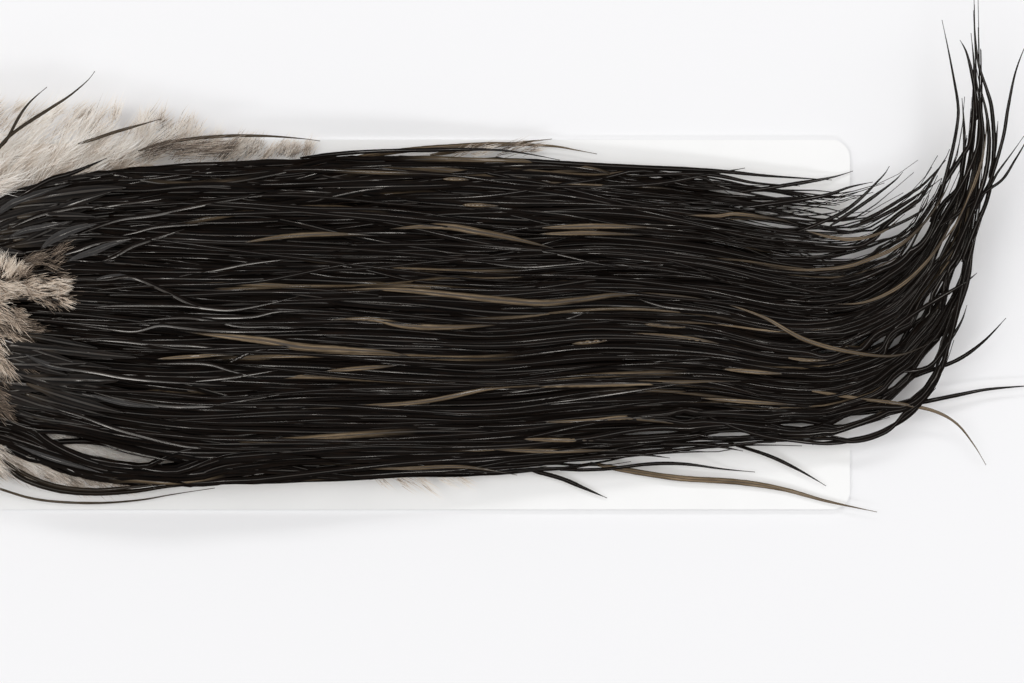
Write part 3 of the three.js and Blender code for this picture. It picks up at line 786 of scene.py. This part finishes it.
# Broad short feathers near the skin, turned so that they mirror a light.
GLOSSY = [
    [2.4, 40, 250, 52, 240, 66, 233, 80, 228, 100, 224],
    [1.8, 66, 262, 80, 256, 95, 251, 110, 245, 136, 238],
    [1.6, 8, 238, 24, 231, 44, 227, 72, 221],
    [2.2, -12, 222, 8, 206, 24, 199, 44, 192, 72, 184],
    [1.4, 94, 280, 110, 277, 124, 277, 146, 282],
    [1.5, 24, 354, 40, 362, 56, 367, 88, 372],
    [1.4, 14, 444, 44, 456, 70, 464, 106, 474],
    [1.4, 88, 394, 112, 401, 134, 405, 166, 408],
]
STRAY_NODES = [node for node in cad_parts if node.startswith("stray_")]
DRAWN_RINGS = 64
LIFT = 0.9  # mm over the mass. At both ends a feather dips by as much below its top.


def streak_widths(share, widest):
    """Half-widths of a stretch of vane that is turned over, and narrows to nothing where it turns."""
    return widest * np.sin(np.pi * np.clip(share, 0.004, 0.996) ** 0.85) ** 1.1


def drawn_feathers(name, rows, tones, ends=None, nodes=(), profile=feather_widths, roll=0.0, **look):
    """Feathers from rows of a width and a route. They lie on the mass, unless ends has the heights in mm
    where each of them starts and ends."""
    lines = []
    for index, (_, *route) in enumerate(rows):
        points = np.array(route, float).reshape(-1, 2).T
        fine = resample(points, np.linspace(0, points.shape[1] - 1, 4 * DRAWN_RINGS))
        if ends is None:
            up = height_on_mass(*fine, LIFT - 2 * LIFT * np.linspace(-1, 1, fine.shape[1]) ** 10)
        else:
            up = np.linspace(*ends[index], fine.shape[1])
        lines.append(place(*fine, up))
    centres = even_out(np.array(lines), DRAWN_RINGS)
    count = len(rows)
    share = np.linspace(0, 1, DRAWN_RINGS)
    ragged = 1 + BARB_CLUMPS * rng.uniform(-1, 1, (count, DRAWN_RINGS))
    widths = np.array([row[0] for row in rows], float)
    half_widths = profile(share, widths[:, None] / 2 * MM) * ragged
    rolls = roll + smooth_noise(count, DRAWN_RINGS, 5, 0.22 if roll == 0 else 0.05)
    # The tone of a turned stretch comes quickly at its root end and goes slowly at its tip end.
    fade = np.clip(np.minimum(share / 0.12, (1 - share) / 0.5), 0, 1) if profile is streak_widths else 1
    tones = np.broadcast_to(np.array(tones, float), count)[:, None]
    paleness = tones * np.clip(fade + smooth_noise(count, DRAWN_RINGS, 7, 0.12), 0, 1)
    chances = rng.uniform(0, 100, count)
    feathers(name, centres, half_widths, rolls, chances, paleness, nodes, **look)


GLINT_ROLL = math.radians(22.5)  # turns one side of the shaft to mirror a light
GLOSS_ROLL = math.radians(14.5)  # turns one side of the vane to mirror it
tan_tones = rng.uniform(0.7, 1.0, len(TAN_STREAKS))
drawn_feathers(
    "turned_tan_feathers", TAN_STREAKS, tan_tones, profile=streak_widths, slot="tan_feather", shaft=2.2
)
drawn_feathers("edge_feathers", EDGE_FEATHERS, 0)
drawn_feathers("glinting_feathers", GLINTS, 0, profile=streak_widths, roll=GLINT_ROLL, shaft=2.5)
drawn_feathers("glossy_back_feathers", GLOSSY, 0, profile=streak_widths, roll=GLOSS_ROLL, finish=GLOSS)
stray_tones = [row[1] for row in STRAYS]
stray_ends = [row[2:4] for row in STRAYS]
stray_rows = [[width, *route] for width, _, _, _, *route in STRAYS]
drawn_feathers("stray_feathers", stray_rows, stray_tones, stray_ends, STRAY_NODES)


# Down

# Banks of down round the skin: at each stop, the inner and outer edges in the frame and the crest's height.
UPPER_SIDE_DOWN = [
    [306, 159, 312, 155, 2.4],
    [262, 159, 268, 147, 3],
    [210, 157, 216, 135, 4.2],
    [158, 155, 158, 117, 6.4],
    [108, 162, 104, 110, 9.2],
    [62, 171, 54, 98, 12.1],
    [14, 185, 0, 92, 14.6],
    [-30, 203, -52, 90, 16.2],
]
NECK_DOWN = [
    [-30, 203, -52, 96, 16.2],
    [-80, 230, -126, 118, 17],
    [-126, 256, -182, 176, 18],
    [-131, 292, -214, 256, 18.4],
    [-131, 326, -214, 346, 18.4],
    [-126, 358, -182, 420, 17.6],
    [-76, 390, -120, 474, 15.6],
    [-34, 418, -48, 480, 13.5],
]
LOWER_SIDE_DOWN = [
    [-34, 418, -48, 474, 13.5],
    [-12, 430, -20, 474, 12],
    [28, 449, 28, 481, 9.5],
    [76, 466, 80, 487, 7],
    [118, 477, 122, 488, 5],
]
# Places across a bank, from 0 at its inner edge to 1 at its outer one, and how high it is there.
BANK_PROFILE = [[-0.4, -0.1, 0.1, 0.3, 0.5, 0.66, 0.76, 0.82], [0.3, 0.72, 0.9, 0.92, 0.76, 0.5, 0.24, 0]]
BANK_FOOT = CARD_THICKNESS + 0.4


def bank_surface(bank, t, s):
    """Places on a bank: t from 0 to 1 along it and s from 0 at its inner edge to 1 at its outer one."""
    stops = np.array(bank, float).T
    at = t * (stops.shape[1] - 1)
    inner_x, inner_y, outer_x, outer_y, crest = (resample(row, at) for row in stops)
    up = BANK_FOOT + (crest - BANK_FOOT) * np.interp(s, *BANK_PROFILE)
    return inner_x + (outer_x - inner_x) * s, inner_y + (outer_y - inner_y) * s, up


DENSE_CREST = 6.5  # mm. Lower down is too thin to hide what is below it.


def bank_body(bank, rings):
    """The dense under-fluff of a bank: rings of points round its section, lumpy, ready for strips. It is
    smaller than the bank, the more so where that is low."""
    crests = np.array(bank, float)[:, 4]
    stops = np.linspace(0, 1, 200)
    dense = stops[np.interp(stops, np.linspace(0, 1, len(crests)), crests) > DENSE_CREST]
    t = np.linspace(dense[0], dense[-1], rings)[:, None]
    s = np.array(BANK_PROFILE[0])[None]
    _, _, up = bank_surface(bank, t, s)
    crest = resample(crests, t * (len(bank) - 1))
    shrink = np.interp(crest, [DENSE_CREST, 10, 16], [0.1, 0.6, 0.7])
    across, down, _ = bank_surface(bank, t, s[:, :1] + (s - s[:, :1]) * shrink)
    lumps = smooth_noise(up.shape[1], rings, 14, 0.05).T
    up = BANK_FOOT + (up - BANK_FOOT) * (np.interp(crest, [DENSE_CREST, 10], [0.2, 0.7]) + lumps)
    top = place(across, down, up)
    below = place(across[:, [-1, 0]], down[:, [-1, 0]], np.full((rings, 2), BANK_FOOT))
    return np.concatenate([top, below], axis=1)


BARB_SIDES = 3
BARB_TAPER = {3: [1, 0.8, 0.15], 4: [1, 0.9, 0.6, 0.15]}  # by the number of rings on a barb
LOWEST_BARB = CARD_THICKNESS + 0.3  # mm
HIGHEST_BARB = CROWN + CROWN_GIVE + 0.4


def barb_points(root, heading, tilt, length, bend, thickness, rings):
    """Thin barbs from root, in metres. heading is their direction on the table and tilt their climb, in
    radians; bend is how far they curve sideways over their length."""
    share = np.linspace(0, 1, rings)
    turn = heading[:, None] + bend[:, None] * share
    climb = tilt[:, None] * (1 - 1.3 * share)
    step = length[:, None] / (rings - 1)
    move = np.stack([np.cos(turn) * np.cos(climb), np.sin(turn) * np.cos(climb), np.sin(climb)], axis=-1)
    centres = root[:, None] + np.cumsum(move * step[..., None], axis=1) - move[:, :1] * step[..., None]
    centres[..., 2] = np.clip(centres[..., 2], LOWEST_BARB * MM, HIGHEST_BARB * MM)
    along, across = frames_along(centres)
    up = np.cross(along, across)
    radius = thickness[:, None] * np.array(BARB_TAPER[rings]) / 2
    flat_side_up = math.tau * (np.arange(BARB_SIDES) / BARB_SIDES + 1 / 12)
    angle = (rng.normal(0, 0.35, len(root))[:, None] + flat_side_up)[:, None, :, None]
    ring = across[:, :, None] * np.cos(angle) + up[:, :, None] * np.sin(angle)
    return centres[:, :, None] + ring * radius[..., None, None]


def down_piece(name, parts, node):
    """One piece of down from parts of (points, tints, shades), each points (count, rings, sides, 3)."""
    start = 0
    rows = []
    for index, (points, tint, shade) in enumerate(parts):
        count, rings, sides, _ = points.shape
        triangles, uvs = strip_triangles(count, rings, sides)
        uvs[..., 0] = (uvs[..., 0] + index) / len(parts)
        tones = (np.broadcast_to(tone, points.shape[:3]).ravel() for tone in (tint, shade))
        rows.append((points.reshape(-1, 3), triangles + start, uvs, *tones))
        start += count * rings * sides
    points, triangles, uvs, tints, shades = (np.concatenate(column) for column in zip(*rows))
    piece = joined_mesh(name, points, triangles, uvs, [DOWN], {"tint": tints, "shade": shades})
    finish_piece(piece, [node])


def tufts(root, heading, length, depth, rings=4, climb=(0.0, 0.34), fine=1.0, fan_to=0.6, barbs=34):
    """Barbs of downy feathers, which fan out from hidden shafts of so much heading and length (mm). depth
    is how pale a tuft is: 1 on top and 0 underneath, so that the lower tufts are darker as painted shade.
    Along each barb the tint is darker at the root as painted shade and paler at the tip as painted light.
    climb is the range of the barbs' tilt, and fine how thick they are."""
    count = len(heading)
    along = rng.uniform(0, 0.55, (count, barbs))
    side = rng.choice([-1, 1], (count, barbs))
    fan = rng.uniform(0.03, fan_to, (count, barbs)) * (1 - 0.4 * along)
    barb_heading = heading[:, None] + side * fan
    barb_length = length[:, None] * rng.uniform(0.4, 1.0, (count, barbs)) * (1 - 0.35 * along)
    shaft = np.stack([np.cos(heading), np.sin(heading), np.zeros(count)], axis=-1)
    base = root[:, None] + shaft[:, None] * (along * length[:, None])[..., None] * MM
    base = base + rng.normal(0, 0.7, base.shape) * np.array([1, 1, 0.4]) * MM
    points = barb_points(
        base.reshape(-1, 3),
        barb_heading.ravel(),
        rng.uniform(*climb, (barbs, count)).T.ravel(),
        barb_length.ravel() * MM,
        (-side * fan * rng.uniform(0.1, 1.1, fan.shape)).ravel(),
        rng.uniform(0.09, 0.17, count * barbs) * fine * MM,
        rings,
    )
    tone = np.repeat(np.clip(depth + rng.normal(0, 0.18, count), 0, 1), barbs)
    tone = tone + rng.normal(0, 0.14, tone.shape)
    # Painted shade and light along each barb: darker at its root, paler at its tip.
    tint = np.clip(tone[:, None, None] + np.linspace(-0.34, 0.3, rings)[None, :, None], 0, 1)
    return points, tint


def bank_tufts(bank, count, heading_at, longest, middle, rings, droop, fine, barbs, pale):
    """Tufts on a bank, fewer where it is low. Half of them stand inside of middle, from 0 at the bank's
    inner edge to 1. Beyond it they droop."""
    t = rng.uniform(0, 1, count)
    crest = resample(np.array(bank, float)[:, 4], t * (len(bank) - 1))
    t = t[rng.random(count) < np.interp(crest, [2.5, 5, 8], [0.3, 0.65, 1])]
    count = len(t)
    s = np.interp(rng.uniform(0, 1, count), [0, 0.5, 1], [-0.25, middle, 0.8])
    across, down, up = bank_surface(bank, t, s)
    root = place(across, down, up * rng.uniform(0.82, 0.97, count))
    heading = heading_at(t, s) + rng.normal(0, 0.2, count)
    length = longest * rng.uniform(0.6, 1.0, count) * np.interp(up, [1, 3, 6, 14], [0.4, 0.48, 0.78, 1])
    fall = droop * np.interp(s, [0.1, 0.4, 0.7, 0.9], [0, 0.3, 0.85, 1])
    # Painted shade: the lower a tuft's root, the darker its tint.
    depth = np.clip(up / 25 + pale, 0.2, 0.95)
    return tufts(root, heading, length, depth, rings, (-fall, 0.34 - fall), fine, 0.5, barbs)


def upper_heading(t, s):
    """Up and to the right, more steeply at the tip end."""
    return np.radians(58 - 20 * t + 8 * s)


def neck_heading(t, s):
    """Outwards at the foot of the bank and back over the feathers at its crest."""
    return np.radians((100 + 160 * t) * s + np.where(t < 0.5, 40, 320) * (1 - s))


def lower_heading(t, s):
    return np.radians(-38 + 30 * t - 14 * s)


# Each bank's node, its stops, how pale its body is, and the habit of its tufts, as bank_tufts takes it. The
# bodies are tinted darker than most of their tufts, as painted shade in the gaps between them.
BANKS = [
    ("upper_side_down", UPPER_SIDE_DOWN, 0.36, 260, upper_heading, 13, 0.25, 4, 0.35, 0.9, 34, 0.52),
    ("neck_down", NECK_DOWN, 0.55, 400, neck_heading, 13, 0.48, 3, 0.95, 1.7, 24, 0.5),
    ("lower_side_down", LOWER_SIDE_DOWN, 0.36, 205, lower_heading, 11, 0.3, 3, 0.12, 0.8, 34, 0.24),
]
# Single tufts: root in the frame, height in mm, heading in degrees, length in mm and how pale they are.
UPPER_WISPS = [
    (134, 158, 10.5, 30, 11, 0.06),
    (142, 155, 10, 22, 12, 0.0),
    (150, 151, 9.5, 12, 13, 0.04),
    (162, 155, 9, 8, 14, 0.1),
    (170, 149, 8.5, 6, 13, 0.02),
    (186, 153, 8, 9, 13, 0.08),
    (200, 151, 7.5, 5, 11, 0.04),
    (216, 161, 7, 46, 9, 0.02),
    (222, 160, 6.5, 52, 8, 0.08),
    (452, 157, 4, 24, 7, 0.3),
    (470, 155, 4, 16, 8, 0.2),
    (496, 154, 3.5, 20, 9, 0.25),
    (520, 152, 3, 14, 7, 0.2),
]
LOWER_WISPS = [
    (372, 472, 4, -40, 7, 0.7),
    (392, 474, 4, -30, 8, 0.8),
    (414, 475, 3.5, -36, 9, 0.75),
    (436, 474, 3.5, -28, 7, 0.8),
    (454, 474, 3, -32, 7, 0.8),
]


def loose_tufts(rows):
    """Narrow wisps, from rows as in UPPER_WISPS."""
    across, down, height, heading, length, pale = np.array(rows).T
    return tufts(place(across, down, height), np.radians(heading), length, pale, fan_to=0.25, barbs=30)


# Tufts that show in the parting at the lower side.
WEDGE_TUFTS = 72
wedge_at = rng.uniform(0, 1, WEDGE_TUFTS)
wedge_down = 435 + 27 * wedge_at + rng.uniform(-5, 5, WEDGE_TUFTS)
wedge_root = place(40 + 92 * wedge_at, wedge_down, 12.5 - 5 * wedge_at)
wedge_heading = rng.normal(math.radians(-24), 0.16, WEDGE_TUFTS)
wedge_length = rng.uniform(5, 8, WEDGE_TUFTS)
wedge = tufts(wedge_root, wedge_heading, wedge_length, 0.82 + 0.18 * wedge_at, 3, (0.0, 0.2), 0.7)
for name, bank, shaded_body_tint, *habit in BANKS:
    body = bank_body(bank, 60)[None]
    barbs, tint = bank_tufts(bank, *habit)
    # The body's darker tint is painted shade between the tufts.
    parts = [(body, shaded_body_tint, 0.2), (barbs, tint, 0.1)]
    if name == "lower_side_down":
        parts += [(*wedge, 0.0), (*loose_tufts(LOWER_WISPS), 0.1)]
    if name == "upper_side_down":
        parts.append((*loose_tufts(UPPER_WISPS), 0.2))
    down_piece(f"{name}_barbs", parts, name)

# Fluff that stands between the roots on the crown: the node that it is on, its middle and its size in the
# frame, its heading in degrees, how pale it is, how many tufts it has and their lengths in mm. The brown
# ones stay low, under the pale ones.
CROWN_FLUFF = [
    ("crown_tuft_upper", (-2, 272), (66, 12), 62, 0.8, 34, (2.8, 4.4)),
    ("crown_tuft_upper", (22, 290), (104, 18), -6, 0.62, 50, (3.4, 5.4)),
    ("crown_tuft_upper", (-4, 311), (46, 16), -15, 0.42, 18, (3.4, 5.4)),
    ("crown_tuft_upper", (36, 262), (44, 14), 18, -0.12, 10, (3.5, 6)),
    ("crown_tuft_upper", (24, 286), (92, 30), 4, 0.06, 24, (3.6, 5.4)),
    ("crown_tuft_lower", (-8, 334), (44, 22), -40, 0.68, 22, (4, 6.4)),
    ("crown_tuft_lower", (-8, 354), (46, 24), -55, 0.64, 22, (4, 6.4)),
    ("crown_tuft_lower", (-18, 398), (44, 24), -40, 0.12, 16, (4, 6)),
    ("crown_tuft_lower", (18, 336), (38, 36), -20, -0.12, 14, (3.5, 6)),
    ("crown_tuft_lower", (2, 346), (56, 60), -36, 0.06, 26, (3.6, 5.6)),
]
for name in ("crown_tuft_upper", "crown_tuft_lower"):
    low, high = (corner.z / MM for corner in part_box(name))
    parts = []
    for node, middle, size, heading, pale, count, lengths in CROWN_FLUFF:
        if node != name:
            continue
        across = middle[0] + size[0] * rng.uniform(-0.5, 0.36, count)
        down = middle[1] + size[1] * rng.uniform(-0.5, 0.5, count)
        highest = high - 0.5 if pale > 0.3 else low + 3
        root = place(across, down, rng.uniform(low + 1.8, highest, count))
        headings = np.radians(heading) + rng.normal(0, 0.32, count)
        tone = pale - 0.5 * np.clip((across - middle[0]) / size[0] + 0.1, 0, 1)
        length = rng.uniform(*lengths, count)
        parts.append((*tufts(root, headings, length, tone, 3, (0.0, 0.4), 1.1, 0.5, 26), 0.45))
    down_piece(name.replace("tuft", "fluff"), parts, name)


# Short feathers of the back, over the roots of the long ones
PARTED_LANE = 0.85  # where the parting at the lower side begins


def short_feathers(count, rings):
    """Broad, blunt feathers with fluffy roots."""
    station = rng.uniform(-0.2, 2.4, count)
    lane = rng.uniform(0.01, 0.99, count)
    # They keep out of the fluffy middle and of the parting.
    fluffy_middle = (np.abs(lane - 0.45) < 0.24) & (station > 0.4)
    lane = np.where(fluffy_middle, np.where(lane < 0.45, lane - 0.22, lane + 0.24), lane)
    lane = np.where(lane > PARTED_LANE, lane - 0.3, lane)
    share = np.linspace(0, 1, rings)
    reach = rng.uniform(1.0, 2.0, count)
    stations = np.clip(station[:, None] + reach[:, None] * share, 0, LAST_STATION)
    drift = rng.normal(0, 0.05, count)[:, None] * share
    lanes = np.clip(lane[:, None] + drift, 0.005, PARTED_LANE)
    levels = rng.uniform(0.86, 1.0, count)[:, None] - 0.04 * share**2
    centres = even_out(flow(stations, lanes, levels), rings)
    widest = rng.uniform(0.8, 1.6, count)[:, None] * MM
    tip = np.clip((1 - share) / 0.35, 0, 1) ** 0.6
    half_widths = widest * (0.35 + 0.65 * np.clip(share / 0.3, 0, 1)) * tip
    half_widths = half_widths * (1 + 0.08 * rng.uniform(-1, 1, half_widths.shape))
    rolls = smooth_noise(count, rings, 4, 0.3)
    fluffy_root = 0.35 * np.clip(1 - share / 0.3, 0, 1) * rng.uniform(0, 1, count)[:, None]
    nodes = ["back_feather_upper", "back_feather_lower"]
    chances = rng.uniform(0, 100, count)
    feathers(
        "back_feathers", centres, half_widths, rolls, chances, fluffy_root, nodes, shaft=1.5, finish=SILKY
    )


short_feathers(130, 22)

CAD_FINISHES = {
    "under_down": make_material("packed down barbs", down_barbs, True),
    "backing_card": make_material("white pressed board", pressed_board),
    "skin_patch": make_material("dried hide", dried_hide),
}
for node, material in CAD_FINISHES.items():
    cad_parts[node].material_slots[0].material = material


# Floor and light

FLOOR_REACH = 3.0
FLOOR_LEVEL = -0.2 * MM  # just under the card


def add_floor():
    corners = [(x * FLOOR_REACH, y * FLOOR_REACH, 0) for x, y in ((-1, -1), (1, -1), (1, 1), (-1, 1))]
    mesh = bpy.data.meshes.new("floor")
    mesh.from_pydata(corners, [], [(0, 1, 2, 3)])
    floor = bpy.data.objects.new("floor", mesh)
    floor.location.z = FLOOR_LEVEL
    mesh.materials.append(make_material("pale matt paper", pale_paper))
    bpy.context.scene.collection.objects.link(floor)


def add_area_light(name, location, size, power, colour):
    data = bpy.data.lights.new(name, "AREA")
    data.shape = "RECTANGLE"
    data.size = size[0]
    data.size_y = size[1]
    data.energy = power
    data.color = linear(colour)[:3]
    light = bpy.data.objects.new(name, data)
    light.location = location
    towards = -light.location.normalized()
    light.rotation_euler = towards.to_track_quat("-Z", "Y").to_euler()
    bpy.context.scene.collection.objects.link(light)


add_floor()
add_area_light("head end light", (-1.3, 0.25, 1.15), (0.9, 1.6), 9.6, "#fffefc")
add_area_light("tip end light", (1.5, 0.1, 1.1), (0.9, 1.6), 9.9, "#fffefd")
add_area_light("upper side light", (0.0, 1.35, 1.0), (1.8, 0.24), 7.7, "#fdfdff")
add_area_light("lower side light", (0.1, -1.35, 1.0), (1.8, 0.24), 6.7, "#fdfdff")
world = bpy.data.worlds.new("studio")
world.use_nodes = True
world.node_tree.nodes["Background"].inputs["Color"].default_value = linear("#fbfbfc")
world.node_tree.nodes["Background"].inputs["Strength"].default_value = 0.5
bpy.context.scene.world = world
bpy.context.scene.view_settings.view_transform = "Standard"
